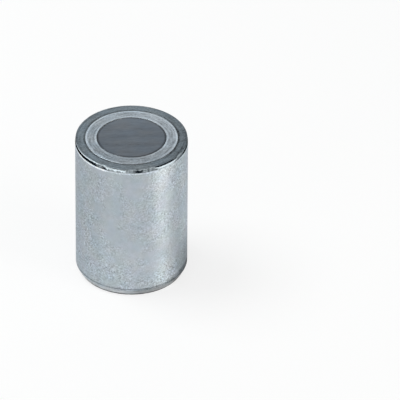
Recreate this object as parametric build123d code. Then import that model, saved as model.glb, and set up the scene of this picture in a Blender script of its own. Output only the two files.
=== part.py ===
from build123d import *

import math
import os

# Deep pot magnet. A turned steel pot holds a round magnet inside a non-magnetic sleeve,
# and the three are ground flush at the magnetic face. A blind threaded hole in the back
# takes the fixing screw. Millimetres, with the middle of the back face at the origin and
# the magnetic face looking along +Z.

# Driving dimensions: the pot
pot_diameter = 13.0
pot_length = 18.0
pot_wall = 1.12
floor_thickness = 1.5  # steel left between the tip of the threaded hole and the magnet
back_chamfer_width = 0.4  # on the radius
back_chamfer_angle = 27.0  # degrees between the back chamfer and the axis
face_bevel_width = 0.06  # on the radius: a steep bevel, which the face grinding leaves
face_bevel_height = 0.42

# Driving dimensions: the sleeve, and the clearance that the bonding film fills
sleeve_wall = 1.35
bond_gap = 0.04

# Driving dimensions: the threaded hole
thread_diameter = 4.0
thread_pitch = 0.7
hole_depth = 6.0  # from the back face to where the drill's point begins
drill_point_angle = 118.0  # degrees, across the point
countersink_diameter = 4.3
countersink_angle = 90.0  # degrees, across the countersink

# Radii, from the outside in: the magnet fills what the walls and gaps leave
pot_radius = pot_diameter / 2
bore_radius = pot_radius - pot_wall
sleeve_outer_radius = bore_radius - bond_gap
sleeve_inner_radius = sleeve_outer_radius - sleeve_wall
magnet_radius = sleeve_inner_radius - bond_gap

# The hole is at the thread's inner diameter: 5/8 of the sharp thread's height stands
# inward of the nominal diameter on each side
sharp_thread_height = thread_pitch * math.sqrt(3) / 2
hole_radius = thread_diameter / 2 - sharp_thread_height * 5 / 8
mouth_radius = countersink_diameter / 2


def cone_height(width, angle):
    """Height of a cone that widens by width on the radius, at angle degrees from its axis."""
    return width / math.tan(math.radians(angle))


# Heights above the back face
back_chamfer_height = cone_height(back_chamfer_width, back_chamfer_angle)
countersink_depth = cone_height(mouth_radius - hole_radius, countersink_angle / 2)
hole_tip_z = hole_depth + cone_height(hole_radius, drill_point_angle / 2)
bore_floor_z = hole_tip_z + floor_thickness


def turn(outline):
    """Turn a half section, given as (radius, height) points, about the Z axis."""
    with BuildPart() as turned:
        with BuildSketch(Plane.XZ):
            with BuildLine():
                Polyline(*outline, close=True)
            make_face()
        revolve(axis=Axis.Z)
    return turned.part


def make_steel_pot():
    """The pot: outside with its chamfer and bevel, then the bore, then the threaded hole."""
    outside = [
        (mouth_radius, 0),
        (pot_radius - back_chamfer_width, 0),
        (pot_radius, back_chamfer_height),
        (pot_radius, pot_length - face_bevel_height),
        (pot_radius - face_bevel_width, pot_length),
    ]
    bore = [
        (bore_radius, pot_length),
        (bore_radius, bore_floor_z),
        (0, bore_floor_z),
    ]
    threaded_hole = [
        (0, hole_tip_z),
        (hole_radius, hole_depth),
        (hole_radius, countersink_depth),
    ]
    return turn(outside + bore + threaded_hole)


def make_spacer_sleeve():
    """The sleeve: a plain tube that seats on the floor of the bore and ends at the face."""
    return turn(
        [
            (sleeve_inner_radius, bore_floor_z),
            (sleeve_outer_radius, bore_floor_z),
            (sleeve_outer_radius, pot_length),
            (sleeve_inner_radius, pot_length),
        ]
    )


def make_magnet_core():
    """The magnet: a plain cylinder that seats on the floor of the bore, inside the sleeve."""
    return turn(
        [
            (0, bore_floor_z),
            (magnet_radius, bore_floor_z),
            (magnet_radius, pot_length),
            (0, pot_length),
        ]
    )


nodes = {
    "steel_pot": make_steel_pot(),
    "spacer_sleeve": make_spacer_sleeve(),
    "magnet_core": make_magnet_core(),
}

os.makedirs("parts", exist_ok=True)
for name, solid in nodes.items():
    export_step(solid, f"parts/{name}.step")
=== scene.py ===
"""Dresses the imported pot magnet: turned meshes, plated and ground finishes, table, lamps and camera.

Sizes are in millimetres and angles in degrees unless a name says otherwise. Meshes are made in
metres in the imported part's own frame, with the middle of the back face at the origin and the
magnetic face on top.
"""

import cmath
import logging
import math
from abc import ABC, abstractmethod
from collections.abc import Sequence
from dataclasses import dataclass, field
from enum import Enum

import bpy
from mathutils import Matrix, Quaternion, Vector


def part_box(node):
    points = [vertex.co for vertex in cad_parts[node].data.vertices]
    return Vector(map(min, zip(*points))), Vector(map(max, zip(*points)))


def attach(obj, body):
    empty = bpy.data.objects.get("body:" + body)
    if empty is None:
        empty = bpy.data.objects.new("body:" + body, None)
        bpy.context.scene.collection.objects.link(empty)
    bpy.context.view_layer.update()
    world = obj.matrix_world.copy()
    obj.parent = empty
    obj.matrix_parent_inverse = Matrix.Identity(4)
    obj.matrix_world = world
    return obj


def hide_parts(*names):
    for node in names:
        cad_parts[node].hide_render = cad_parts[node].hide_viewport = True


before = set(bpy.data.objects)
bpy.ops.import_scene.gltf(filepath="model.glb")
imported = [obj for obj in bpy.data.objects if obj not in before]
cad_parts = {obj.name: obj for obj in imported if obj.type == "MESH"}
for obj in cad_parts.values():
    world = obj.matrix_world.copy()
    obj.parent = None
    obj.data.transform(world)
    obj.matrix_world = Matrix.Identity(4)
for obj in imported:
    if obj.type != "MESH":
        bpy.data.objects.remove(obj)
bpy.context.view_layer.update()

MM = 0.001  # metres in a millimetre
BODY = "root"
MAP_NAME = "OFBake"

Colour = tuple[float, float, float]
Point = tuple[float, float]
Plain = float | int | bool | str | Sequence[float] | bpy.types.Material

log = logging.getLogger("pot magnet")


# ---------------------------------------------------------------------------
# Nodes as arithmetic
# ---------------------------------------------------------------------------


class Wire:
    """One output socket. Arithmetic on it adds Math nodes to its tree."""

    def __init__(self, nodes: "Nodes", socket: bpy.types.NodeSocket) -> None:
        """Keeps the socket and the tree that it belongs to."""
        self.nodes = nodes
        self.socket = socket

    def other(self, key: str | int) -> "Wire":
        """Another output of the same node."""
        return Wire(self.nodes, find_socket(self.socket.node.outputs, key))

    def math(self, operation: str, *others: "Wire | float", first: "Wire | float | None" = None) -> "Wire":
        """Adds one Math node.

        Args:
            operation: Blender's name for the operation.
            others: what follows this value.
            first: what stands before it, for the reflected forms.

        Returns:
            The result.
        """
        operands = [self, *others] if first is None else [first, self]
        return self.nodes.add("ShaderNodeMath", {"operation": operation}, dict(enumerate(operands)))

    def __add__(self, other: "Wire | float") -> "Wire":
        """self + other."""
        return self.math("ADD", other)

    def __radd__(self, other: float) -> "Wire":
        """other + self."""
        return self.math("ADD", other)

    def __sub__(self, other: "Wire | float") -> "Wire":
        """self - other."""
        return self.math("SUBTRACT", other)

    def __rsub__(self, other: float) -> "Wire":
        """other - self."""
        return self.math("SUBTRACT", first=other)

    def __mul__(self, other: "Wire | float") -> "Wire":
        """self * other."""
        return self.math("MULTIPLY", other)

    def __rmul__(self, other: float) -> "Wire":
        """other * self."""
        return self.math("MULTIPLY", other)

    def __truediv__(self, other: "Wire | float") -> "Wire":
        """self / other."""
        return self.math("DIVIDE", other)

    def __mod__(self, other: "Wire | float") -> "Wire":
        """self modulo other."""
        return self.math("MODULO", other)

    def __pow__(self, other: float) -> "Wire":
        """self to a power."""
        return self.math("POWER", other)

    def smallest(self, other: "Wire | float") -> "Wire":
        """The lesser of the two."""
        return self.math("MINIMUM", other)

    def largest(self, other: "Wire | float") -> "Wire":
        """The greater of the two."""
        return self.math("MAXIMUM", other)


def find_socket(sockets: bpy.types.bpy_prop_collection, key: str | int) -> bpy.types.NodeSocket:
    """Finds a node's socket by its number, identifier or name, in that order of trust."""
    if isinstance(key, int):
        return sockets[key]
    return next((s for s in sockets if s.identifier == key), None) or sockets[key]


class Nodes:
    """Adds nodes to one tree and joins them up."""

    def __init__(self, tree: bpy.types.NodeTree) -> None:
        """Starts with an empty tree."""
        self.tree = tree
        tree.nodes.clear()

    def feed(self, socket: bpy.types.NodeSocket, value: "Wire | Plain") -> None:
        """Links a wire to a socket, or sets the socket's own value."""
        if isinstance(value, Wire):
            self.tree.links.new(value.socket, socket)
        else:
            socket.default_value = value

    def add(
        self,
        kind: str,
        settings: dict[str, object] | None = None,
        inputs: "dict[str | int, Wire | Plain] | None" = None,
        output: str | int = 0,
    ) -> Wire:
        """Adds a node, with its settings first and then its sockets.

        Args:
            kind: the node's type.
            settings: the node's own properties.
            inputs: a value or a wire for each socket that is set.
            output: which output to return.

        Returns:
            The wire from that output.
        """
        node = self.tree.nodes.new(kind)
        for name, value in (settings or {}).items():
            setattr(node, name, value)
        for key, value in (inputs or {}).items():
            self.feed(find_socket(node.inputs, key), value)
        return Wire(self, find_socket(node.outputs, output))

    def close(self, kind: str, result: Wire) -> None:
        """Adds the tree's output node, which takes the result."""
        self.feed(self.tree.nodes.new(kind).inputs[0], result)

    def smooth_step(self, value: Wire, start: float, end: float) -> Wire:
        """0 up to start, 1 from end, and a soft rise between them, or a fall where end is less."""
        low, high = min(start, end), max(start, end)
        rising = end > start
        return self.add(
            "ShaderNodeMapRange",
            {"interpolation_type": "SMOOTHSTEP"},
            {
                "Value": value,
                "From Min": low,
                "From Max": high,
                "To Min": 0.0 if rising else 1.0,
                "To Max": 1.0 if rising else 0.0,
            },
        )

    def window(self, value: Wire, start: float, end: float, soft: float) -> Wire:
        """1 between start and end, with soft edges of that width outside them."""
        rise = self.smooth_step(value, start - soft, start)
        return rise * self.smooth_step(value, end + soft, end)


class ShaderNodes(Nodes):
    """The nodes of a material or of the world."""

    def place(self) -> Wire:
        """The place on the piece, in millimetres."""
        return self.scaled(self.add("ShaderNodeTexCoord", output="Object"), (1 / MM,) * 3)

    def scaled(self, vector: Wire, factors: Sequence[float]) -> Wire:
        """The vector with each part multiplied."""
        return self.add(
            "ShaderNodeVectorMath", {"operation": "MULTIPLY"}, {0: vector, 1: tuple(factors)}
        )

    def turned(self, vector: Wire, degrees: float) -> Wire:
        """The vector turned about the axis of the piece."""
        return self.add(
            "ShaderNodeVectorRotate",
            {"rotation_type": "Z_AXIS"},
            {"Vector": vector, "Angle": math.radians(degrees)},
        )

    def parts(self, vector: Wire) -> tuple[Wire, Wire, Wire]:
        """The three parts of a vector."""
        x = self.add("ShaderNodeSeparateXYZ", inputs={"Vector": vector}, output="X")
        return x, x.other("Y"), x.other("Z")

    def joined(self, x: Wire | float, y: Wire | float, z: Wire | float) -> Wire:
        """A vector from its three parts."""
        return self.add("ShaderNodeCombineXYZ", inputs={"X": x, "Y": y, "Z": z})

    def radius(self, vector: Wire) -> Wire:
        """How far a place is from the axis of the piece."""
        flat = self.scaled(vector, (1.0, 1.0, 0.0))
        return self.add("ShaderNodeVectorMath", {"operation": "LENGTH"}, {0: flat}, "Value")

    def azimuth(self, vector: Wire) -> Wire:
        """The direction of a place from the axis, in degrees: 0 in front, 90 on the right."""
        x, y, _ = self.parts(vector)
        return x.math("ARCTAN2", -1.0 * y) * math.degrees(1.0)

    def noise(
        self,
        vector: Wire,
        size: float,
        detail: float = 2.0,
        rough: float = 0.5,
        shift: float = 0.0,
    ) -> Wire:
        """Soft random variation.

        Args:
            vector: where it is read, in millimetres.
            size: the width of its patches.
            detail: how many finer layers it has.
            rough: how strong the finer layers are.
            shift: moves the pattern along all three axes, to tell patterns apart.

        Returns:
            A value about 0, mostly within half a unit.
        """
        moved = self.add(
            "ShaderNodeVectorMath", {"operation": "ADD"}, {0: vector, 1: (shift, shift, shift)}
        )
        found = self.add(
            "ShaderNodeTexNoise",
            {"noise_dimensions": "3D"},
            {"Vector": moved, "Scale": 1 / size, "Detail": detail, "Roughness": rough},
        )
        return found * 2.0 - 1.0

    def mixed(self, share: Wire | float, first: Wire | Colour, second: Wire | Colour) -> Wire:
        """A colour between two, by share of the second."""
        return self.add(
            "ShaderNodeMix",
            {"data_type": "RGBA", "clamp_factor": True},
            {
                "Factor_Float": share,
                "A_Color": self.opaque(first),
                "B_Color": self.opaque(second),
            },
            "Result_Color",
        )

    def tinted(self, colour: Wire, tint: Wire) -> Wire:
        """A colour multiplied by another."""
        return self.add("ShaderNodeVectorMath", {"operation": "MULTIPLY"}, {0: colour, 1: tint})

    def shaded(self, colour: Wire, factor: Wire) -> Wire:
        """A colour made lighter or darker."""
        return self.add(
            "ShaderNodeVectorMath", {"operation": "SCALE"}, {"Vector": colour, "Scale": factor}
        )

    @staticmethod
    def opaque(colour: Wire | Colour) -> "Wire | tuple[float, ...]":
        """A plain colour with its alpha added. A wire stays as it is."""
        return colour if isinstance(colour, Wire) else (*colour, 1.0)


# ---------------------------------------------------------------------------
# Finishes
# ---------------------------------------------------------------------------


@dataclass(frozen=True)
class Look:
    """What a finish varies over a surface.

    Attributes:
        colour: the base colour.
        roughness: the gloss.
        relief: the height of the fine texture, from about -1 to 1.
    """

    colour: Wire
    roughness: Wire
    relief: Wire


@dataclass(frozen=True)
class Hoop:
    """A band round the piece, or round a part of it, that is lighter or darker. In a finish's bands it is
    painted shade where it is darker and a painted highlight where it is lighter, copying reflections; in
    the scuffs it marks where the specks are stronger or weaker.

    Attributes:
        low: its lower height.
        high: its upper height.
        gain: how much lighter it is, or darker below 0; in the scuffs, how much stronger the specks are.
        start: the direction where it starts.
        end: the direction where it ends.
        soft: the height over which it fades.
    """

    low: float
    high: float
    gain: float
    start: float = -180.0
    end: float = 180.0
    soft: float = 0.04

    def cover(self, nodes: ShaderNodes, height: Wire, around: Wire) -> Wire:
        """How much of the hoop is at a place, from 0 to 1.

        Args:
            nodes: the material's nodes.
            height: the height of the place.
            around: its direction.

        Returns:
            The cover. A hoop that goes all the way round doesn't ask for the direction.
        """
        cover = nodes.window(height, self.low, self.high, self.soft)
        if self.end - self.start < 360.0:
            cover = cover * nodes.window(around, self.start, self.end, 8.0)
        return cover


@dataclass(frozen=True)
class Finish(ABC):
    """A metal finish.

    Attributes:
        label: the material's name.
        cool: the colour of its bluer patches.
        warm: the colour of its greyer patches.
        roughness: the mean gloss.
        relief_depth: the depth of its fine texture, in micrometres.
        edge_tint: how it reflects at a grazing angle.
        streak: how far highlights stretch along the axis, as they do over turning marks.
        painted_bands: the bands round it painted lighter or darker, painted highlights and painted shade
            that copy reflections.
        band_breakup: how unevenly noise breaks up their painted shade and highlight.
        darkest: the least that they leave of the colour.
    """

    label: str
    cool: Colour
    warm: Colour
    roughness: float
    relief_depth: float
    edge_tint: Colour = (1.0, 1.0, 1.0)
    streak: float = 0.0
    painted_bands: tuple[Hoop, ...] = ()
    band_breakup: float = 0.9
    darkest: float = 0.0

    def with_painted_bands(self, nodes: ShaderNodes, factor: Wire, place: Wire) -> Wire:
        """Paints the bands' painted shade and painted highlight into the colour.

        Args:
            nodes: the material's nodes.
            factor: what multiplies the colour so far.
            place: the place on the piece.

        Returns:
            The factor with the painted bands in it.
        """
        if not self.painted_bands:
            return factor
        height = nodes.parts(place)[2]
        around = nodes.azimuth(place)
        # the bands are painted shade and painted highlight, broken up by noise
        breakup = 1.0 + nodes.noise(place, 0.5, 2.0, shift=210.0) * self.band_breakup
        shade: Wire | float = 1.0
        for hoop in self.painted_bands:
            shade = shade + hoop.cover(nodes, height, around) * breakup * hoop.gain
        return factor * shade.largest(self.darkest)

    @abstractmethod
    def look(self, nodes: ShaderNodes) -> Look:
        """Adds the nodes that vary the finish over the surface."""

    def material(self) -> bpy.types.Material:
        """Makes the material.

        Returns:
            A metal whose colour, gloss and relief come from look().
        """
        made = bpy.data.materials.new(self.label)
        made.use_nodes = True
        nodes = ShaderNodes(made.node_tree)
        look = self.look(nodes)
        bump = nodes.add(
            "ShaderNodeBump",
            inputs={"Strength": 1.0, "Distance": self.relief_depth * MM * MM, "Height": look.relief},
        )
        metal = nodes.add(
            "ShaderNodeBsdfPrincipled",
            inputs={
                "Base Color": look.colour,
                "Metallic": 1.0,
                "Roughness": look.roughness,
                "Specular Tint": (*self.edge_tint, 1.0),
                "Anisotropic": self.streak,
                "Anisotropic Rotation": 0.25,
                "Normal": bump,
            },
        )
        nodes.close("ShaderNodeOutputMaterial", metal)
        return made


@dataclass(frozen=True)
class PlatedFinish(Finish):
    """Satin zinc plate: cloudy patches, a mottle of crystals, and fine specks.

    Attributes:
        cloud_size: the width of the large pale and dull patches.
        mottle_size: the width of the crystals.
        speck_size: the width of the specks.
        cloud_share: how much the patches change the colour.
        mottle_share: how much the crystals change it.
        speck_share: how much the specks change it.
        calm_share: how far the specks fade in the calm patches.
        stain: the tint of the faint stains.
        scuffs: the places where the specks are stronger or weaker.
    """

    cloud_size: float = 3.4
    mottle_size: float = 0.75
    speck_size: float = 0.19
    cloud_share: float = 0.07
    mottle_share: float = 0.10
    speck_share: float = 0.78
    calm_share: float = 0.6
    stain: Colour = (1.012, 1.0, 0.955)
    scuffs: tuple[Hoop, ...] = ()

    def look(self, nodes: ShaderNodes) -> Look:
        """Layers the three sizes of pattern, with bluish and greyish patches between them."""
        place = nodes.place()
        cloud = nodes.noise(place, self.cloud_size, 3.0)
        mottle = nodes.noise(place, self.mottle_size, 2.0, shift=31.0)
        speck = nodes.noise(place, self.speck_size, 1.0, shift=57.0)
        hue = nodes.noise(place, self.cloud_size * 0.55, 2.0, shift=83.0)
        calm = nodes.noise(place, self.cloud_size * 0.8, 2.0, shift=140.0)
        strength = 1.0 - nodes.smooth_step(calm, -0.08, 0.16) * self.calm_share
        height = nodes.parts(place)[2]
        around = nodes.azimuth(place)
        for scuff in self.scuffs:
            strength = strength + scuff.cover(nodes, height, around) * (cloud + 0.9) * scuff.gain
        speck = speck * strength
        stains = nodes.noise(place, self.cloud_size * 0.45, 2.0, shift=175.0)
        colour = nodes.mixed(hue * 1.8 + 0.5, self.cool, self.warm)
        colour = nodes.tinted(colour, nodes.mixed(stains * 2.2 + 0.5, (1.0, 1.0, 1.0), self.stain))
        factor = 1.0 + cloud * self.cloud_share + mottle * self.mottle_share + speck * self.speck_share
        factor = self.with_painted_bands(nodes, factor, place)
        roughness = self.roughness + cloud * 0.10 - mottle * 0.06 - speck * 0.08
        return Look(nodes.shaded(colour, factor), roughness, mottle * 0.5 + speck * 0.35)


@dataclass(frozen=True)
class TurnedFinish(Finish):
    """Plated over a turned surface: fine rings about the axis show through.

    Attributes:
        ring_pitch: the distance between rings, measured across them.
        ring_share: how much the rings change the colour.
    """

    ring_pitch: float = 0.09
    ring_share: float = 0.10

    def look(self, nodes: ShaderNodes) -> Look:
        """Reads a noise along the radius and the height, which hardly changes round the axis."""
        place = nodes.place()
        radius = nodes.radius(place)
        x, y, _ = nodes.parts(nodes.add("ShaderNodeVectorMath", {"operation": "NORMALIZE"}, {0: place}))
        along = nodes.joined(x * 0.25, y * 0.25, radius + nodes.parts(place)[2] * 0.8)
        rings = nodes.noise(along, self.ring_pitch, 2.0, 0.6)
        cloud = nodes.noise(place, 2.4, 3.0, shift=12.0)
        hue = nodes.noise(place, 1.6, 2.0, shift=47.0)
        colour = nodes.mixed(hue * 1.6 + 0.5, self.cool, self.warm)
        factor = self.with_painted_bands(nodes, 1.0 + rings * self.ring_share + cloud * 0.08, place)
        return Look(nodes.shaded(colour, factor), self.roughness + cloud * 0.06, rings)


@dataclass(frozen=True)
class GroundFinish(Finish):
    """Ground flat: straight grinding lines, which cross every part of the face alike.

    Attributes:
        lay: the direction of the lines, from the X axis.
        line_pitch: the distance between the fine lines.
        band_pitch: the distance between the broad bands.
        line_stretch: how many times longer than wide the fine lines are.
        line_share: how much the fine lines change the colour.
        band_share: how much the bands change it.
        ring_pitch: the distance between the marks that run round the axis.
        ring_stretch: how many times longer than wide those marks are.
        ring_share: how much they change the colour.
        far_painted_light: how much lighter the face is painted behind the axis, as painted light.
        near_painted_light: how much lighter it is painted in front of the axis, or darker below 0, as
            painted light and shade.
        right_painted_light: how much lighter it is painted on the right of the axis, or darker below 0, as
            painted light and shade.
        painted_rims: the rims painted lighter or darker, each with its inner and outer radius and its
            gain: dark lines painted as shade at the joints and edges, bright lines painted as highlights
            along the edges.
        painted_rim_fade: the share of that gain which is lost in front of the axis.
    """

    lay: float = 6.0
    line_pitch: float = 0.07
    band_pitch: float = 0.8
    line_stretch: float = 20.0
    line_share: float = 0.30
    band_share: float = 0.30
    ring_pitch: float = 0.18
    ring_stretch: float = 7.0
    ring_share: float = 0.0
    far_painted_light: float = 0.17
    near_painted_light: float = 0.0
    right_painted_light: float = 0.0
    painted_rims: tuple[tuple[float, float, float], ...] = ()
    painted_rim_fade: float = 0.0

    def look(self, nodes: ShaderNodes) -> Look:
        """Stretches noise along the lay, and paints light and shade across the face and along the rims."""
        place = nodes.place()
        laid = nodes.turned(place, -self.lay)
        stretched = nodes.scaled(laid, (1.0 / self.line_stretch, 1.0, 1.0))
        lines = nodes.noise(stretched, self.line_pitch, 2.0, 0.6)
        bands = nodes.noise(nodes.scaled(laid, (0.16, 1.0, 1.0)), self.band_pitch, 2.0, shift=9.0)
        hue = nodes.noise(nodes.scaled(laid, (0.6, 1.0, 1.0)), 1.9, 2.0, shift=71.0)
        colour = nodes.mixed(hue * 1.6 + 0.5, self.cool, self.warm)
        factor = 1.0 + lines * self.line_share + bands * self.band_share
        x, y, _ = nodes.parts(place)
        # painted light and shade: lighter behind the axis, lighter or darker in front of it and on its
        # right
        factor = factor + nodes.smooth_step(y, 0.0, 4.5) * self.far_painted_light
        factor = factor + nodes.smooth_step(y, -1.0, -4.5) * self.near_painted_light
        factor = factor + nodes.smooth_step(x, 2.5, 5.5) * self.right_painted_light
        radius = nodes.radius(place)
        reach = 4.6 / self.ring_stretch
        circled = nodes.joined(x / radius * reach, y / radius * reach, radius)
        factor = factor + nodes.noise(circled, self.ring_pitch, 1.0, shift=40.0) * self.ring_share
        kept = 1.0 - nodes.smooth_step(y, -1.0, -4.5) * self.painted_rim_fade
        # painted shade and painted highlight along the rims, fading in front of the axis
        for inner, outer, gain in self.painted_rims:
            factor = factor + nodes.window(radius, inner, outer, 0.06) * kept * gain
        roughness = self.roughness + bands * 0.08 + lines * 0.06
        return Look(nodes.shaded(colour, factor), roughness, lines)


@dataclass(frozen=True)
class PaintedReflection:
    """A stretch of an edge with a painted shade of its own, which stands in for a reflection.

    Attributes:
        start: the direction where it starts.
        end: the direction where it ends.
        low: its lower height.
        high: its upper height.
        tone: its painted shade, from 0 for a black reflection to 1 for a bright one.
    """

    start: float
    end: float
    low: float
    high: float
    tone: float


@dataclass(frozen=True)
class RimFinish(Finish):
    """A bright steel edge with painted reflections: a painted dark line low on it, and stretches painted
    bright or dark.

    Attributes:
        dark: the colour of the dark line, a painted dark reflection.
        split: the height between the dark line and the lighter steel above it.
        upper_tone: the shade of that steel.
        streak_length: the length of the streaks, round the edge.
        streak_width: the width of the streaks, up the edge.
        nick_size: the size of the nicks.
        nick_height: how far the nicks move the lines up or down.
        nick_share: how much they change the shade.
        nicked: the directions between which they are deepest.
        painted_reflections: the stretches painted bright or dark as reflections.
    """

    dark: Colour = (0.009, 0.013, 0.018)
    split: float = 17.88
    upper_tone: float = 0.5
    streak_length: float = 0.9
    streak_width: float = 0.09
    nick_size: float = 0.30
    nick_height: float = 0.22
    nick_share: float = 1.3
    nicked: Point = (-36.0, 26.0)
    painted_reflections: tuple[PaintedReflection, ...] = ()

    def look(self, nodes: ShaderNodes) -> Look:
        """Splits the edge in two by height, adds the painted reflections, and breaks all up with nicks."""
        place = nodes.place()
        around = nodes.azimuth(place)
        share = self.streak_width / self.streak_length
        streaks = nodes.noise(nodes.scaled(place, (share, share, 1.0)), self.streak_width, 2.0, 0.6)
        nicks = nodes.noise(nodes.scaled(place, (1.0, 1.0, 0.4)), self.nick_size, 2.0, shift=230.0)
        nicks = nicks * (nodes.window(around, *self.nicked, 6.0) * 0.75 + 0.25)
        height = nodes.parts(place)[2] + nicks * self.nick_height
        tone = nodes.smooth_step(height, self.split - 0.03, self.split + 0.03) * self.upper_tone
        around = around + streaks * 12.0
        # painted reflections: each stretch takes its own painted shade
        for reflection in self.painted_reflections:
            over = nodes.window(around, reflection.start, reflection.end, 2.5)
            over = over * nodes.window(height, reflection.low, reflection.high, 0.03)
            tone = tone + over * (reflection.tone - tone)
        tone = tone * (1.0 + streaks * 1.2 + nicks * self.nick_share)
        tone = tone.largest(0.0).smallest(1.0)
        return Look(nodes.mixed(tone, self.dark, self.cool), self.roughness + streaks * 0.1, streaks)


@dataclass(frozen=True)
class PlainFinish(Finish):
    """A hidden side, left as it was cast or bored: a fine grain and nothing more."""

    def look(self, nodes: ShaderNodes) -> Look:
        """One fine and one coarse grain."""
        place = nodes.place()
        coarse = nodes.noise(place, 1.1, 2.0)
        fine = nodes.noise(place, 0.12, 2.0, shift=19.0)
        colour = nodes.mixed(coarse + 0.5, self.cool, self.warm)
        factor = 1.0 + coarse * 0.10 + fine * 0.12
        return Look(nodes.shaded(colour, factor), self.roughness + fine * 0.08, fine)


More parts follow.
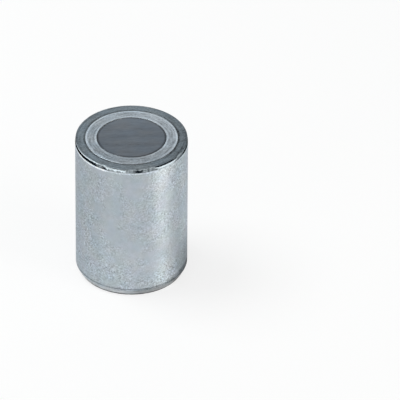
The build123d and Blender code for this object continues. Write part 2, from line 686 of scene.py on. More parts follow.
class Surface(Enum):
    """The finishes of the magnet's surfaces."""

    WALL = PlatedFinish(
        "satin_zinc",
        (0.415, 0.474, 0.523),
        (0.443, 0.478, 0.531),
        0.40,
        6.0,
        (0.80, 0.82, 0.84),
        0.7,
        # painted light: bright lines painted under the face, a dark line painted above the back chamfer,
        # the bottom painted lighter, and the right side painted lighter at the top and darker towards the
        # bottom, all copying reflections
        painted_bands=(
            Hoop(17.30, 17.50, 0.30),
            Hoop(17.27, 17.50, 0.75, -74.0, -30.0),
            Hoop(17.34, 17.50, -0.26, 31.0, 56.0),
            Hoop(0.93, 1.08, -0.42),
            Hoop(0.80, 0.95, -0.26, 8.0, 50.0),
            Hoop(0.78, 1.50, -0.22, 44.0, 104.0, 0.1),
            Hoop(0.0, 2.5, 0.06, soft=9.0),
            Hoop(8.0, 18.1, 0.15, 66.0, 115.0, 6.0),
            Hoop(0.0, 2.2, -0.12, 72.0, 115.0, 3.0),
            Hoop(0.8, 4.0, -0.12, 58.0, 115.0, 3.0),
            Hoop(0.0, 1.4, -0.35, 64.0, 104.0, 0.5),
        ),
        darkest=0.36,
        scuffs=(
            Hoop(0.5, 10.0, 0.12, -105.0, -48.0, 3.0),
            Hoop(12.0, 18.1, -0.34, -85.0, -16.0, 3.0),
            Hoop(0.5, 3.0, 0.45, 30.0, 70.0, 1.5),
            Hoop(15.0, 17.6, 0.35, 22.0, 60.0, 1.5),
            Hoop(6.0, 15.0, -0.45, -22.0, 20.0, 3.0),
            Hoop(6.0, 18.1, -0.30, 105.0, 150.0, 3.0),
            Hoop(0.0, 9.0, -0.35, -165.0, -125.0, 3.0),
        ),
    )
    BACK = TurnedFinish("turned_zinc", (0.52, 0.62, 0.69), (0.56, 0.64, 0.68), 0.32, 1.0)
    EDGE = TurnedFinish(
        "bright_edge",
        (0.58, 0.62, 0.65),
        (0.60, 0.62, 0.64),
        0.16,
        0.3,
        # painted shade and painted reflections on the back chamfer: a dark line at its top, a dark line
        # where it meets the table, dark stretches at the sides and behind, and a lighter stretch in front
        painted_bands=(
            Hoop(0.70, 0.90, -0.25),
            Hoop(-0.1, 0.17, -0.85),
            Hoop(-0.1, 0.90, -0.17, 10.0, 54.0),
            Hoop(-0.1, 0.90, -0.80, 56.0, 115.0),
            Hoop(0.25, 0.65, 0.18, -34.0, -8.0),
            Hoop(-0.1, 0.90, -0.62, 115.0, 142.0),
            Hoop(-0.1, 0.90, -0.62, -156.0, -100.0),
        ),
    )
    RIM = RimFinish(
        "rim_with_painted_reflections",
        (0.84, 0.94, 1.0),
        (0.84, 0.94, 1.0),
        0.18,
        3.0,
        (0.20, 0.21, 0.22),
        upper_tone=0.66,
        # painted reflections: stretches of the rim painted black where the dark room reflects and bright
        # where the lamps do
        painted_reflections=(
            PaintedReflection(-78.0, -36.0, 17.865, 18.10, 0.95),
            PaintedReflection(-35.5, -31.5, 17.40, 17.865, 0.30),
            PaintedReflection(-23.0, -3.0, 17.86, 18.10, 0.16),
            PaintedReflection(-23.0, -3.0, 17.64, 17.86, 0.80),
            PaintedReflection(-23.0, -3.0, 17.40, 17.64, 0.34),
            PaintedReflection(-3.0, 2.0, 17.40, 18.10, 0.34),
            PaintedReflection(2.0, 29.0, 17.82, 18.10, 0.30),
            PaintedReflection(15.0, 29.0, 17.40, 17.82, 0.29),
            PaintedReflection(29.0, 53.0, 17.60, 17.80, 1.30),
            PaintedReflection(29.0, 53.0, 17.40, 17.60, 0.55),
            PaintedReflection(29.0, 53.0, 17.80, 18.10, 0.0),
            PaintedReflection(53.0, 66.0, 17.40, 17.78, 0.20),
            PaintedReflection(53.0, 85.0, 17.78, 18.10, 0.36),
            PaintedReflection(100.0, 128.0, 17.70, 18.10, 0.72),
            PaintedReflection(131.0, 146.0, 17.40, 17.72, 0.60),
            PaintedReflection(150.0, 168.0, 17.40, 17.90, 0.48),
            PaintedReflection(169.0, 180.0, 17.66, 18.10, 0.70),
            PaintedReflection(-180.0, -168.0, 17.40, 17.84, 0.55),
            PaintedReflection(-165.0, -138.0, 17.78, 18.10, 0.8),
            PaintedReflection(-136.0, -124.0, 17.56, 18.10, 0.62),
            PaintedReflection(-120.0, -102.0, 17.40, 18.10, 0.28),
        ),
    )
    THREAD = TurnedFinish("plated_thread", (0.50, 0.54, 0.58), (0.54, 0.56, 0.58), 0.18, 0.2)
    STEEL = GroundFinish(
        "ground_steel",
        (0.222, 0.273, 0.312),
        (0.240, 0.277, 0.300),
        0.34,
        0.6,
        line_pitch=0.17,
        line_stretch=1.5,
        line_share=0.80,
        ring_share=0.45,
        far_painted_light=0.08,
        near_painted_light=0.05,
        right_painted_light=-0.22,
        painted_rims=((5.34, 5.54, -0.40), (6.15, 6.50, -0.16)),
    )
    SLEEVE = GroundFinish(
        "ground_aluminium",
        (0.406, 0.472, 0.527),
        (0.441, 0.487, 0.524),
        0.36,
        0.8,
        line_pitch=0.17,
        line_stretch=1.5,
        line_share=0.70,
        ring_share=0.62,
        far_painted_light=0.09,
        near_painted_light=-0.15,
        right_painted_light=0.06,
        painted_rims=((3.90, 4.02, -0.60), (4.04, 4.20, 0.36), (5.13, 5.33, 0.50)),
        painted_rim_fade=0.5,
    )
    MAGNET = GroundFinish(
        "ground_magnet",
        (0.162, 0.196, 0.235),
        (0.180, 0.200, 0.222),
        0.32,
        0.5,
        line_pitch=0.14,
        line_stretch=6.0,
        line_share=0.38,
        far_painted_light=0.22,
        painted_rims=((3.80, 3.96, -0.35),),
    )
    BORE = PlainFinish("bored_steel", (0.20, 0.21, 0.22), (0.23, 0.23, 0.23), 0.45, 2.0)
    TUBE = PlainFinish("drawn_aluminium", (0.45, 0.46, 0.47), (0.50, 0.50, 0.50), 0.45, 2.0)
    CAST = PlainFinish("cast_magnet_side", (0.09, 0.09, 0.10), (0.12, 0.12, 0.12), 0.60, 6.0)


# ---------------------------------------------------------------------------
# Turned sections
# ---------------------------------------------------------------------------


@dataclass(frozen=True)
class Run:
    """One stretch of a turned outline.

    Attributes:
        surface: its finish.
        share: its share of the piece's map, as a strip, or 0 for a face that is laid flat.
        flat_scale: for a flat one, how much of the map a millimetre takes.
        flat_middle: for a flat one, the height of its centre on the map.
    """

    surface: Surface
    share: float = 0.0
    flat_scale: float = 0.0
    flat_middle: float = 0.5


@dataclass(frozen=True)
class Corner:
    """A corner of a turned outline.

    Attributes:
        radius: its distance from the axis.
        height: its height.
        run: the stretch that starts here, or None at the end of an open outline.
        rounding: the radius that breaks the corner.
    """

    radius: float
    height: float
    run: Run | None = None
    rounding: float = 0.0


@dataclass(frozen=True)
class Row:
    """One ring of vertices.

    Attributes:
        radius: its distance from the axis.
        height: its height.
        run: the stretch from this ring to the next.
        lead: 1 where the ring climbs as a thread does, and 0 where it is flat.
    """

    radius: float
    height: float
    run: Run | None
    lead: float = 0.0


def unit(step: complex) -> complex:
    """The same direction with length 1."""
    return step / abs(step)


def arc(before: Point, corner: Point, after: Point, rounding: float, steps: int) -> list[Point]:
    """Rounds one corner of a line.

    Args:
        before: the point before the corner.
        corner: the corner itself.
        after: the point after it.
        rounding: the radius.
        steps: how many facets the arc has.

    Returns:
        The arc's points, from the side of before to the side of after.
    """
    middle = complex(*corner)
    back = unit(complex(*before) - middle)
    ahead = unit(complex(*after) - middle)
    half = abs(cmath.phase(ahead / back)) / 2
    centre = middle + unit(back + ahead) * (rounding / math.sin(half))
    start = middle + back * (rounding / math.tan(half)) - centre
    end = middle + ahead * (rounding / math.tan(half)) - centre
    turn = cmath.phase(end / start)
    found = [centre + start * cmath.rect(1.0, turn * step / steps) for step in range(steps + 1)]
    return [(point.real, point.imag) for point in found]


@dataclass
class Outline:
    """The half section that a turned piece is swept from.

    Attributes:
        strip_height: how much of the map's height the strips share.
        facets: how many facets each rounding has.
        support: how far from a rounding the flat beside it gets a row of its own.
        gap: the gap between strips on the map.
        rows: the rings, in order.
    """

    strip_height: float = 1.0
    facets: int = 4
    support: float = 0.035
    gap: float = 0.006
    rows: list[Row] = field(default_factory=list)

    def trace(self, corners: Sequence[Corner], closed: bool = False) -> None:
        """Adds rows for a line of corners, rounded where they say so.

        Args:
            corners: the corners, in an order that has the metal on the left.
            closed: whether the last corner joins up with the first.
        """
        count = len(corners)
        for i, corner in enumerate(corners):
            at = (corner.radius, corner.height)
            before = corners[i - 1] if i or closed else None
            after = corners[(i + 1) % count] if i < count - 1 or closed else None
            if not corner.rounding or before is None or after is None:
                self.rows.append(Row(*at, corner.run))
                continue
            ends = [(end.radius, end.height) for end in (before, after)]
            points = arc(ends[0], at, ends[1], corner.rounding, self.facets)
            lead_in = self.beside(points[0], ends[0])
            lead_out = self.beside(points[-1], ends[1])
            for j, point in enumerate([lead_in, *points, lead_out]):
                run = before.run if j <= self.facets // 2 else corner.run
                self.rows.append(Row(*point, run))
        if closed:
            self.rows.append(Row(self.rows[0].radius, self.rows[0].height, None))

    def beside(self, point: Point, towards: Point) -> Point:
        """The place a support row's distance along the flat from a rounding."""
        step = complex(*towards) - complex(*point)
        found = complex(*point) + unit(step) * min(self.support, abs(step) / 3)
        return found.real, found.imag

    def mesh(self, name: str) -> bpy.types.Mesh:
        """Makes the outline's mesh, with what each row and each span carries as attributes.

        Args:
            name: the mesh's name.

        Returns:
            A line of vertices in the XZ plane, in metres.
        """
        rows = self.rows
        made = bpy.data.meshes.new(name)
        points = [(row.radius * MM, 0.0, row.height * MM) for row in rows]
        made.from_pydata(points, [(i, i + 1) for i in range(len(rows) - 1)], [])
        steps = [math.dist(a, b) for a, b in zip(points, points[1:])]
        travel = [sum(steps[:i]) for i in range(len(rows))]
        put(made, "travel", "POINT", travel)
        put(made, "lead", "POINT", [row.lead for row in rows])
        bases, rates, scales, middles = self.lay_out(travel)
        put(made, "map_base", "EDGE", bases)
        put(made, "map_rate", "EDGE", rates)
        put(made, "map_scale", "EDGE", scales)
        put(made, "map_middle", "EDGE", middles)
        surfaces = self.surfaces()
        put(made, "finish", "EDGE", [float(surfaces.index(row.run.surface)) for row in rows[:-1]])
        return made

    def surfaces(self) -> list[Surface]:
        """The finishes in use, in the order of their first row."""
        return list(dict.fromkeys(row.run.surface for row in self.rows if row.run))

    def lay_out(self, travel: list[float]) -> tuple[list[float], ...]:
        """Gives each span its place on the map.

        Args:
            travel: how far along the outline each row is.

        Returns:
            For each span: the map height at travel 0 and its rate, and the scale and the height
            of the middle for a flat one.
        """
        spans = [row.run for row in self.rows[:-1]]
        runs = list(dict.fromkeys(spans))
        strips = [run for run in runs if run.share]
        room = self.strip_height - self.gap * (len(strips) + 1)
        total = sum(run.share for run in strips)
        places: dict[Run, tuple[float, float, float, float]] = {}
        low = self.gap
        for run in runs:
            if not run.share:
                places[run] = (0.0, 0.0, run.flat_scale / MM, run.flat_middle)
                continue
            mine = [i for i, other in enumerate(spans) if other == run]
            start, end = travel[mine[0]], travel[mine[-1] + 1]
            height = room * run.share / total
            rate = height / (end - start)
            places[run] = (low - start * rate, rate, 0.0, 0.0)
            low += height + self.gap
        return tuple(list(column) for column in zip(*(places[run] for run in spans)))


def put(mesh: bpy.types.Mesh, name: str, domain: str, values: Sequence[float]) -> None:
    """Stores one number for each point or edge of a mesh."""
    mesh.attributes.new(name, "FLOAT", domain).data.foreach_set("value", list(values))


@dataclass(frozen=True)
class ThreadForm:
    """An internal thread, cut from the mouth of a drilled hole.

    Attributes:
        diameter: the major diameter.
        pitch: the pitch.
        crest_rounding: the radius at the crests' edges.
        root_rounding: the radius at the roots' edges.
        facets: how many facets each rounding has.
        runout_slope: how steeply the thread dies out at its inner end.
    """

    diameter: float = 4.0
    pitch: float = 0.7
    crest_rounding: float = 0.03
    root_rounding: float = 0.035
    facets: int = 3
    runout_slope: float = 0.9

    @property
    def depth(self) -> float:
        """The height of the thread's flank, crest to root, for five eighths of a sharp one."""
        return 0.625 * self.pitch * math.sqrt(3) / 2

    @property
    def drill_radius(self) -> float:
        """The radius of the crests."""
        return self.diameter / 2 - self.depth

    def rows(self, start: float, end: float, run: Run) -> list[Row]:
        """The rings of the thread.

        Args:
            start: the height of the first ring, at the inner end.
            end: the height of the last ring, at the mouth, which the climb brings back up.
            run: the stretch of outline that the thread is.

        Returns:
            Rings from start down to one pitch past end.
        """
        low, high = self.drill_radius, self.diameter / 2
        edges = [self.pitch * part for part in (1 / 8, 7 / 16, 9 / 16, 7 / 8)]
        line = [(low, 0.0), *zip((low, high, high, low), edges), (low, self.pitch)]
        turn: list[Point] = []
        for i in range(1, 5):
            rounding = self.crest_rounding if i in (1, 4) else self.root_rounding
            turn += arc(line[i - 1], line[i], line[i + 1], rounding, self.facets)
        count = math.ceil((start - end) / self.pitch) + 1
        return [
            Row(radius, start - depth - lap * self.pitch, run, 1.0)
            for lap in range(count)
            for radius, depth in turn
        ]


# ---------------------------------------------------------------------------
# The sweep, as Geometry Nodes
# ---------------------------------------------------------------------------


@dataclass
class Sweep:
    """Turns an outline into a closed skin, with its finishes and its map.

    Attributes:
        segments: how many facets the circle has.
        seam_angle: where the map's seam lies, from the X axis.
        weld: the distance within which vertices are one, in metres.
    """

    segments: int = 192
    seam_angle: float = 90.0
    weld: float = 1.0e-7

    def tree(self, surfaces: Sequence[Surface], hole: "ThreadedHole | None") -> bpy.types.NodeTree:
        """Builds the node tree.

        Args:
            surfaces: the finishes, in the order that the outline numbers them.
            hole: the threaded hole whose rows climb, if there is one.

        Returns:
            A tree with a named input for each size and each finish.
        """
        made = bpy.data.node_groups.new("turned_piece", "GeometryNodeTree")
        face = made.interface
        face.new_socket("Outline", in_out="INPUT", socket_type="NodeSocketGeometry")
        for name in self.sizes(hole):
            kind = "NodeSocketInt" if name == "Segments" else "NodeSocketFloat"
            face.new_socket(name, in_out="INPUT", socket_type=kind)
        for surface in surfaces:
            face.new_socket(surface.value.label, in_out="INPUT", socket_type="NodeSocketMaterial")
        face.new_socket("Skin", in_out="OUTPUT", socket_type="NodeSocketGeometry")
        nodes = Nodes(made)
        group = nodes.add("NodeGroupInput")
        skin = self.grid(nodes, group)
        skin = self.numbered(nodes, group, skin)
        skin = self.shaped(nodes, group, skin, hole is not None)
        skin = self.mapped(nodes, skin)
        skin = nodes.add(
            "GeometryNodeMergeByDistance", inputs={"Geometry": skin, "Distance": group.other("Weld")}
        )
        skin = nodes.add("GeometryNodeSetShadeSmooth", inputs={"Geometry": skin})
        skin = nodes.add("GeometryNodeRealizeInstances", inputs={"Geometry": skin})
        number = self.stored(nodes, "finish")
        for index, surface in enumerate(surfaces):
            chosen = number.math("COMPARE", float(index), 0.1) if index else True
            skin = nodes.add(
                "GeometryNodeSetMaterial",
                inputs={
                    "Geometry": skin,
                    "Selection": chosen,
                    "Material": group.other(surface.value.label),
                },
            )
        nodes.close("NodeGroupOutput", skin)
        return made

    def sizes(self, hole: "ThreadedHole | None") -> dict[str, float | int]:
        """The values of the tree's inputs, by name, in metres and radians."""
        values: dict[str, float | int] = {
            "Segments": self.segments,
            "Seam Angle": math.radians(self.seam_angle),
            "Weld": self.weld,
        }
        return values | (hole.sizes() if hole else {})

    @staticmethod
    def stored(nodes: Nodes, name: str) -> Wire:
        """Reads a number that the mesh carries."""
        return nodes.add("GeometryNodeInputNamedAttribute", {"data_type": "FLOAT"}, {"Name": name})

    @staticmethod
    def store(nodes: Nodes, skin: Wire, name: str, domain: str, value: Wire) -> Wire:
        """Writes a number onto the mesh."""
        return nodes.add(
            "GeometryNodeStoreNamedAttribute",
            {"data_type": "FLOAT", "domain": domain},
            {"Geometry": skin, "Name": name, "Value": value},
        )

    @staticmethod
    def grid(nodes: Nodes, group: Wire) -> Wire:
        """A flat grid with a column for each angle and a row for each ring."""
        size = nodes.add(
            "GeometryNodeAttributeDomainSize", {"component": "MESH"}, {"Geometry": group.other("Outline")}
        )
        return nodes.add(
            "GeometryNodeMeshGrid",
            inputs={"Vertices X": group.other("Segments") + 1.0, "Vertices Y": size},
        )

    def numbered(self, nodes: Nodes, group: Wire, skin: Wire) -> Wire:
        """Copies the outline's numbers onto the grid, row by row.

        Args:
            nodes: the tree.
            group: the tree's inputs.
            skin: the grid.

        Returns:
            The grid, with each vertex's ring and turn and each face's finish and map.
        """
        outline = group.other("Outline")
        size = nodes.add(
            "GeometryNodeAttributeDomainSize", {"component": "MESH"}, {"Geometry": outline}
        )
        index = nodes.add("GeometryNodeInputIndex")
        ring = index % size
        turn = (index / size).math("FLOOR") / group.other("Segments")
        radius = self.sampled(nodes, outline, "POINT", self.part_of_position(nodes, "X"), ring)
        height = self.sampled(nodes, outline, "POINT", self.part_of_position(nodes, "Z"), ring)
        skin = self.store(nodes, skin, "radius", "POINT", radius)
        skin = self.store(nodes, skin, "height", "POINT", height)
        skin = self.store(nodes, skin, "turn", "POINT", turn)
        for name in ("travel", "lead"):
            value = self.sampled(nodes, outline, "POINT", self.stored(nodes, name), ring)
            skin = self.store(nodes, skin, name, "POINT", value)
        span = index % (size - 1.0)
        for name in ("finish", "map_base", "map_rate", "map_scale", "map_middle"):
            value = self.sampled(nodes, outline, "EDGE", self.stored(nodes, name), span)
            skin = self.store(nodes, skin, name, "FACE", value)
        return skin

    @staticmethod
    def part_of_position(nodes: Nodes, part: str) -> Wire:
        """One coordinate of a vertex."""
        position = nodes.add("GeometryNodeInputPosition")
        return nodes.add("ShaderNodeSeparateXYZ", inputs={"Vector": position}, output=part)

    @staticmethod
    def sampled(nodes: Nodes, outline: Wire, domain: str, value: Wire, index: Wire) -> Wire:
        """Reads a number from the outline at a row or a span."""
        return nodes.add(
            "GeometryNodeSampleIndex",
            {"data_type": "FLOAT", "domain": domain, "clamp": True},
            {"Geometry": outline, "Value": value, "Index": index},
        )

    def shaped(self, nodes: Nodes, group: Wire, skin: Wire, threaded: bool) -> Wire:
        """Bends the grid round the axis, and makes a thread's rows climb.

        Args:
            nodes: the tree.
            group: the tree's inputs.
            skin: the numbered grid.
            threaded: whether some rows are a thread's.

        Returns:
            The skin, still open at its seam.
        """
        turn = self.stored(nodes, "turn")
        radius = self.stored(nodes, "radius")
        height = self.stored(nodes, "height")
        if threaded:
            lead = self.stored(nodes, "lead")
            climbed = height + turn * group.other("Pitch") * lead
            climbed = climbed.largest(group.other("Mouth Height")).smallest(group.other("Hole Depth"))
            cone = group.other("Mouth Radius") - climbed * group.other("Countersink Slope")
            fade = (group.other("Hole Depth") - climbed) * group.other("Runout Slope")
            limit = group.other("Drill Radius") + fade
            cut = radius.largest(cone).smallest(limit.largest(cone))
            radius = radius + (cut - radius) * lead
            height = height + (climbed - height) * lead
        angle = turn * math.tau + group.other("Seam Angle")
        place = nodes.add(
            "ShaderNodeCombineXYZ",
            inputs={
                "X": radius * angle.math("COSINE"),
                "Y": radius * angle.math("SINE"),
                "Z": height,
            },
        )
        return nodes.add("GeometryNodeSetPosition", inputs={"Geometry": skin, "Position": place})

    def mapped(self, nodes: Nodes, skin: Wire) -> Wire:
        """Stores the map: strips that unroll the walls, and faces laid flat.

        Args:
            nodes: the tree.
            skin: the shaped skin.

        Returns:
            The skin with its map.
        """
        scale = self.stored(nodes, "map_scale")
        flat = scale.math("GREATER_THAN", 0.0)
        rolled_height = self.stored(nodes, "map_base") + self.stored(nodes, "travel") * self.stored(
            nodes, "map_rate"
        )
        rolled_turn = self.stored(nodes, "turn") * 0.99 + 0.005
        flat_x = self.part_of_position(nodes, "X") * scale + 0.5
        flat_y = self.part_of_position(nodes, "Y") * scale + self.stored(nodes, "map_middle")
        place = nodes.add(
            "ShaderNodeCombineXYZ",
            inputs={
                "X": self.switched(nodes, flat, rolled_turn, flat_x),
                "Y": self.switched(nodes, flat, rolled_height, flat_y),
            },
        )
        return nodes.add(
            "GeometryNodeStoreNamedAttribute",
            {"data_type": "FLOAT2", "domain": "CORNER"},
            {"Geometry": skin, "Name": MAP_NAME, "Value": place},
        )

    @staticmethod
    def switched(nodes: Nodes, test: Wire, no: Wire, yes: Wire) -> Wire:
        """One of two values."""
        return nodes.add(
            "GeometryNodeSwitch", {"input_type": "FLOAT"}, {"Switch": test, "False": no, "True": yes}
        )

    def apply(
        self, outline: Outline, name: str, hole: "ThreadedHole | None" = None
    ) -> bpy.types.Object:
        """Sweeps an outline and turns the result into a plain mesh.

        Args:
            outline: the half section.
            name: the piece's name.
            hole: the threaded hole whose rows climb, if there is one.

        Returns:
            The piece, at the origin, with no modifier left on it.
        """
        surfaces = outline.surfaces()
        tree = self.tree(surfaces, hole)
        piece = bpy.data.objects.new(name, outline.mesh(name + "_outline"))
        bpy.context.scene.collection.objects.link(piece)
        modifier = piece.modifiers.new("sweep", "NODES")
        modifier.node_group = tree
        keys = {item.name: item.identifier for item in tree.interface.items_tree}
        for size, value in self.sizes(hole).items():
            modifier[keys[size]] = value
        for surface in surfaces:
            modifier[keys[surface.value.label]] = finished(surface)
        graph = bpy.context.evaluated_depsgraph_get()
        skin = bpy.data.meshes.new_from_object(
            piece.evaluated_get(graph), preserve_all_data_layers=True, depsgraph=graph
        )
        skin.name = name
        skin.materials.pop(index=0)  # the grid's own slot, which is empty
        piece.modifiers.clear()
        piece.data = skin
        for spare in [a.name for a in skin.attributes if a.name in SPARE_ATTRIBUTES]:
            skin.attributes.remove(skin.attributes[spare])
        return piece


SPARE_ATTRIBUTES = {
    "radius",
    "height",
    "turn",
    "travel",
    "lead",
    "finish",
    "map_base",
    "map_rate",
    "map_scale",
    "map_middle",
}


def finished(surface: Surface) -> bpy.types.Material:
    """The surface's material, made the first time that it is asked for."""
    return bpy.data.materials.get(surface.value.label) or surface.value.material()


# ---------------------------------------------------------------------------
# The pieces
# ---------------------------------------------------------------------------


@dataclass
class ThreadedHole:
    """The blind hole in the back, with its countersunk mouth.

    Attributes:
        thread: the thread.
        depth: from the back face to where the drill's point begins.
        mouth_radius: the countersink's radius at the back face.
        mouth_rounding: the radius that breaks the mouth's edge.
        countersink_slope: the countersink's radius over its height.
        drill_point: the drill's point angle.
    """

    thread: ThreadForm = ThreadForm()
    depth: float = 6.0
    mouth_radius: float = 2.15
    mouth_rounding: float = 0.04
    countersink_slope: float = 1.0
    drill_point: float = 118.0

    @property
    def tip_height(self) -> float:
        """The height of the drill's point."""
        return self.depth + self.thread.drill_radius / math.tan(math.radians(self.drill_point / 2))

    @property
    def mouth_height(self) -> float:
        """Where the rounding of the mouth's edge meets the countersink."""
        return self.mouth_rounding * math.tan(math.radians(45 / 2)) * math.sin(math.radians(45))

    def sizes(self) -> dict[str, float]:
        """The sizes that the sweep needs, in metres."""
        return {
            "Pitch": self.thread.pitch * MM,
            "Mouth Height": self.mouth_height * MM,
            "Mouth Radius": self.mouth_radius * MM,
            "Countersink Slope": self.countersink_slope,
            "Hole Depth": self.depth * MM,
            "Drill Radius": self.thread.drill_radius * MM,
            "Runout Slope": self.thread.runout_slope,
        }

    def trace(self, outline: Outline, cone: Run, thread: Run) -> None:
        """Adds the hole's rows, from its tip to the edge of its mouth."""
        radius = self.thread.drill_radius
        outline.rows += [Row(0.0, self.tip_height, cone), Row(radius, self.depth, thread)]
        outline.rows += self.thread.rows(self.depth, self.mouth_height, thread)


@dataclass
class Piece(ABC):
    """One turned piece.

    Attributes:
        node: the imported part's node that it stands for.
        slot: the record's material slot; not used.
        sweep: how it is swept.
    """

    node: str = ""
    slot: str = ""
    sweep: Sweep = field(default_factory=Sweep)

    @abstractmethod
    def shape(self) -> bpy.types.Object:
        """Makes the piece's mesh, with its finishes on."""

    def build(self) -> bpy.types.Object:
        """Makes the piece and fits it to the frame.

        Returns:
            The piece.
        """
        piece = self.shape()
        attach(piece, BODY)
        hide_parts(self.node)
        piece.data.calc_loop_triangles()
        finishes = ", ".join(material.name for material in piece.data.materials)
        log.info("%s: %d triangles; %s", piece.name, len(piece.data.loop_triangles), finishes)
        return piece


@dataclass
class SteelPot(Piece):
    """The plated steel pot, ground bare at the magnetic face.

    Attributes:
        length: the whole length.
        radius: the outer radius.
        wall: the thickness of the wall.
        bore_floor: the height of the bore's floor.
        back_chamfer: the back chamfer's width on the radius.
        chamfer_angle: between that chamfer and the axis.
        face_bevel: the face bevel's width on the radius.
        face_bevel_height: its height.
        bare_band: the height of the band under the face where the plate is worn off, which carries the
            rim's painted reflections.
        hole: the threaded hole.
    """

    node: str = "steel_pot"
    slot: str = "zinc_plated_steel"
    length: float = 18.0
    radius: float = 6.5
    wall: float = 1.12
    bore_floor: float = 8.474
    back_chamfer: float = 0.4
    chamfer_angle: float = 27.0
    face_bevel: float = 0.06
    face_bevel_height: float = 0.42
    bare_band: float = 0.52
    hole: ThreadedHole = field(default_factory=ThreadedHole)

    def __post_init__(self) -> None:
        """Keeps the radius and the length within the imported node's box."""
        low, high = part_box(self.node)
        self.radius = min(self.radius, *(abs(v) / MM for v in (low.x, low.y, high.x, high.y)))
        self.length = min(self.length, high.z / MM)

    def shape(self) -> bpy.types.Object:
        """Traces the pot from the hole's tip, round the outside, to the middle of the bore's floor."""
        outer, bore = self.radius, self.radius - self.wall
        slope = math.tan(math.radians(self.chamfer_angle))
        point = Run(Surface.BORE, 0.03)
        thread = Run(Surface.THREAD, 0.20)
        back = Run(Surface.BACK, 0.16)
        edge = Run(Surface.EDGE, 0.05)
        wall = Run(Surface.WALL, 0.40)
        rim = Run(Surface.RIM, 0.04)
        face = Run(Surface.STEEL, 0.08)
        bored = Run(Surface.BORE, 0.02)
        outline = Outline()
        self.hole.trace(outline, point, thread)
        mouth = self.hole.mouth_radius
        outline.trace(
            [
                Corner(mouth - self.hole.mouth_height, self.hole.mouth_height, thread),
                Corner(mouth, 0.0, back, self.hole.mouth_rounding),
                Corner(outer - self.back_chamfer, 0.0, edge, 0.06),
                Corner(outer, self.back_chamfer / slope, wall, 0.10),
                Corner(outer, self.length - self.bare_band, rim),
                Corner(outer, self.length - self.face_bevel_height, rim, 0.3),
                Corner(outer - self.face_bevel, self.length, face, 0.05),
                Corner(bore, self.length, bored, 0.03),
                Corner(bore, self.bore_floor, bored),
                Corner(0.0, self.bore_floor),
            ]
        )
        return self.sweep.apply(outline, "pot", self.hole)


@dataclass
class SpacerSleeve(Piece):
    """The non-magnetic sleeve between the pot and the magnet.

    Attributes:
        outer: the outer radius.
        inner: the inner radius.
        bottom: the height of its lower end.
        top: the height of its ground end.
    """

    node: str = "spacer_sleeve"
    slot: str = "sleeve_aluminium"
    outer: float = 5.34
    inner: float = 3.99
    bottom: float = 8.474
    top: float = 18.0

    def shape(self) -> bpy.types.Object:
        """Traces the tube's closed section."""
        side = Run(Surface.TUBE, 0.1)
        face = Run(Surface.SLEEVE, flat_scale=0.86 / (2 * self.outer), flat_middle=0.555)
        outline = Outline(strip_height=0.1)
        outline.trace(
            [
                Corner(self.inner, self.bottom, side),
                Corner(self.outer, self.bottom, side),
                Corner(self.outer, self.top, face, 0.04),
                Corner(self.inner, self.top, side, 0.04),
            ],
            closed=True,
        )
        return self.sweep.apply(outline, "sleeve")


@dataclass
class MagnetCore(Piece):
    """The round magnet.

    Attributes:
        radius: its radius.
        bottom: the height of its lower end.
        top: the height of its ground face.
        dish: how far the middle of the face lies below its edge, so that no point stands above it.
    """

    node: str = "magnet_core"
    slot: str = "cast_magnet"
    radius: float = 3.95
    bottom: float = 8.474
    top: float = 18.0
    dish: float = 0.00005

    def shape(self) -> bpy.types.Object:
        """Traces the magnet from the middle of its lower end to the middle of its face."""
        side = Run(Surface.CAST, 0.1)
        face = Run(Surface.MAGNET, flat_scale=0.86 / (2 * self.radius), flat_middle=0.555)
        outline = Outline(strip_height=0.1)
        outline.trace(
            [
                Corner(0.0, self.bottom, side),
                Corner(self.radius, self.bottom, side),
                Corner(self.radius, self.top, face, 0.04),
                Corner(0.0, self.top - self.dish),
            ]
        )
        return self.sweep.apply(outline, "magnet")


# ---------------------------------------------------------------------------
# The studio
# ---------------------------------------------------------------------------


def direction(azimuth: float, elevation: float) -> Vector:
    """A unit vector by compass, where azimuth 0 is towards the camera and 90 to its right."""
    a, e = math.radians(azimuth), math.radians(elevation)
    return Vector((math.sin(a) * math.cos(e), -math.cos(a) * math.cos(e), math.sin(e)))


@dataclass(frozen=True)
class Lamp:
    """A flat soft lamp that faces the magnet.

    Attributes:
        name: its name.
        azimuth: its compass direction, where 0 is towards the camera.
        elevation: its angle above the table.
        width: its width.
        height: its height.
        radiance: how bright its face is, where 1 is a white sheet in plain light.
        colour: its colour.
        distance: how far it is from the magnet.
    """

    name: str
    azimuth: float
    elevation: float
    width: float
    height: float
    radiance: float
    colour: Colour = (1.0, 1.0, 1.0)
    distance: float = 300.0

    def build(self, target: Vector) -> bpy.types.Object:
        """Hangs the lamp.

        Args:
            target: what it faces, in metres.

        Returns:
            The lamp's object.
        """
        light = bpy.data.lights.new(self.name, "AREA")
        light.shape = "RECTANGLE"
        light.size = self.width * MM
        light.size_y = self.height * MM
        light.color = self.colour
        light.energy = self.radiance * math.pi * light.size * light.size_y
        lamp = bpy.data.objects.new(self.name, light)
        away = direction(self.azimuth, self.elevation)
        lamp.location = target + away * self.distance * MM
        lamp.rotation_euler = away.to_track_quat("Z", "Y").to_euler()
        lamp.visible_camera = False
        bpy.context.scene.collection.objects.link(lamp)
        return lamp


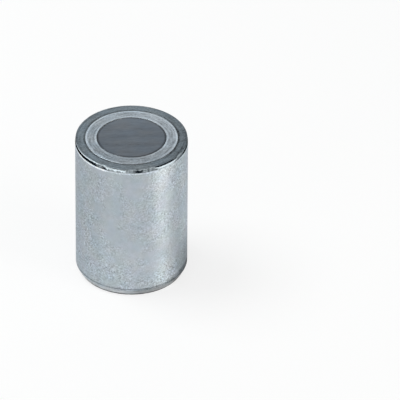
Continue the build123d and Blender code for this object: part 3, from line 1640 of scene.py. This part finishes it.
@dataclass
class Studio:
    """The table, the room's pale light and the lamps.

    Attributes:
        table_size: the width of the table.
        table_colour: the table's colour.
        seen_glow: how much of the table's look is plain white to the camera.
        mirrored_glow: how much of it is plain white in reflections.
        room: the room's colour above the lamps.
        back_wall: its colour behind the magnet, up to half its height.
        front_sheet: the colour of the long low sheet in front of the magnet.
        floor_line: the room's colour near the table on the other sides.
        sheet_top: the angle at which the low sheet ends.
        wall_top: the angle at which the back wall ends.
        sheet_span: the directions between which the low sheet stands.
        wall_reach: how far round from the back, on each side, the back wall comes.
        target: the height that the lamps face.
        lamps: the lamps.
    """

    table_size: float = 6000.0
    table_colour: Colour = (0.93, 0.93, 0.93)
    seen_glow: float = 0.76
    mirrored_glow: float = 0.10
    room: Colour = (0.30, 0.305, 0.31)
    back_wall: Colour = (0.79, 0.80, 0.81)
    front_sheet: Colour = (2.22, 2.22, 2.22)
    floor_line: Colour = (0.10, 0.105, 0.11)
    sheet_top: float = 20.0
    wall_top: float = 45.0
    sheet_span: Point = (-50.0, 106.0)
    wall_reach: float = 55.0
    target: float = 9.0
    lamps: tuple[Lamp, ...] = (
        Lamp("key_box", -102.0, 60.0, 165.0, 157.0, 6.8, (0.965, 1.0, 0.995)),
        Lamp("right_strip", 60.0, 10.5, 132.0, 110.0, 9.4, (1.0, 0.96, 0.885)),
    )

    def build(self) -> None:
        """Sets everything up."""
        self.light_room()
        self.lay_table()
        for lamp in self.lamps:
            lamp.build(Vector((0.0, 0.0, self.target * MM)))
        log.info("studio: %d lamps", len(self.lamps))

    def light_room(self) -> None:
        """Makes the world: a pale dome, duller near the table, with the dark gaps of a studio."""
        world = bpy.data.worlds.new("room")
        world.use_nodes = True
        nodes = ShaderNodes(world.node_tree)
        way = nodes.add("ShaderNodeTexCoord", output="Generated")
        around = nodes.azimuth(way)
        height = nodes.parts(way)[2].math("ARCSINE") * math.degrees(1.0)
        in_front = nodes.window(around, *self.sheet_span, 12.0)
        side = 180.0 - self.wall_reach
        behind = 1.0 - nodes.window(around, -side, side, 20.0)
        low = nodes.mixed(in_front, self.floor_line, self.front_sheet)
        middle = nodes.mixed(behind, self.room, self.back_wall)
        over_sheet = nodes.smooth_step(height, self.sheet_top - 4.0, self.sheet_top + 4.0)
        over_wall = nodes.smooth_step(height, self.wall_top - 6.0, self.wall_top + 6.0)
        colour = nodes.mixed(over_wall, nodes.mixed(over_sheet, low, middle), self.room)
        background = nodes.add("ShaderNodeBackground", inputs={"Color": colour, "Strength": 1.0})
        nodes.close("ShaderNodeOutputWorld", background)
        bpy.context.scene.world = world

    def lay_table(self) -> None:
        """Lays the table: matt and pale, part plain white to the camera, with the shadow kept."""
        half = self.table_size / 2 * MM
        mesh = bpy.data.meshes.new("table")
        corners = [(-half, -half, 0.0), (half, -half, 0.0), (half, half, 0.0), (-half, half, 0.0)]
        mesh.from_pydata(corners, [], [(0, 1, 2, 3)])
        table = bpy.data.objects.new("table", mesh)
        bpy.context.scene.collection.objects.link(table)
        material = bpy.data.materials.new("matt_table")
        material.use_nodes = True
        nodes = ShaderNodes(material.node_tree)
        matt = nodes.add("ShaderNodeBsdfDiffuse", inputs={"Color": (*self.table_colour, 1.0)})
        white = nodes.add("ShaderNodeEmission", inputs={"Color": (1.0, 1.0, 1.0, 1.0), "Strength": 1.0})
        seen = nodes.add("ShaderNodeLightPath", output="Is Camera Ray")
        mirrored = seen.other("Is Glossy Ray").largest(seen.other("Is Transmission Ray"))
        glow = seen * self.seen_glow + mirrored * self.mirrored_glow
        mix = nodes.add("ShaderNodeMixShader", inputs={0: glow, 1: matt, 2: white})
        nodes.close("ShaderNodeOutputMaterial", mix)
        mesh.materials.append(material)


@dataclass
class Viewpoint:
    """The camera.

    Attributes:
        elevation: its angle above the table.
        distance: how far it is from what it looks at.
        frame_width: how much it takes in at that distance.
        aim: what it looks at, as a distance to the right of the axis and a height.
        roll: its turn about its own line of sight, which keeps the axis upright in the picture.
    """

    elevation: float = 35.6
    distance: float = 720.0
    frame_width: float = 46.33
    aim: Point = (7.93, 9.205)
    roll: float = 0.45

    def place(self) -> None:
        """Sets the camera up and makes it the scene's."""
        data = bpy.data.cameras.new("camera")
        data.sensor_width = 36.0
        data.lens = data.sensor_width * self.distance / self.frame_width
        data.clip_start = 0.1
        data.clip_end = 20.0
        camera = bpy.data.objects.new("camera", data)
        back = direction(0.0, self.elevation)
        target = Vector((self.aim[0] * MM, 0.0, self.aim[1] * MM))
        camera.location = target + back * self.distance * MM
        level = back.to_track_quat("Z", "Y")
        camera.rotation_euler = (level @ Quaternion((0.0, 0.0, 1.0), math.radians(self.roll))).to_euler()
        bpy.context.scene.collection.objects.link(camera)
        bpy.context.scene.camera = camera
        log.info("camera: lens %.0f mm at %.2f m", data.lens, self.distance * MM)


def main() -> None:
    """Builds the magnet and its studio, in order."""
    logging.basicConfig(level=logging.INFO, format="%(name)s: %(message)s")
    bpy.context.scene.view_settings.view_transform = "Standard"
    Viewpoint().place()
    for piece in (SteelPot(), SpacerSleeve(), MagnetCore()):
        piece.build()
    Studio().build()


if __name__ == "__main__":
    main()
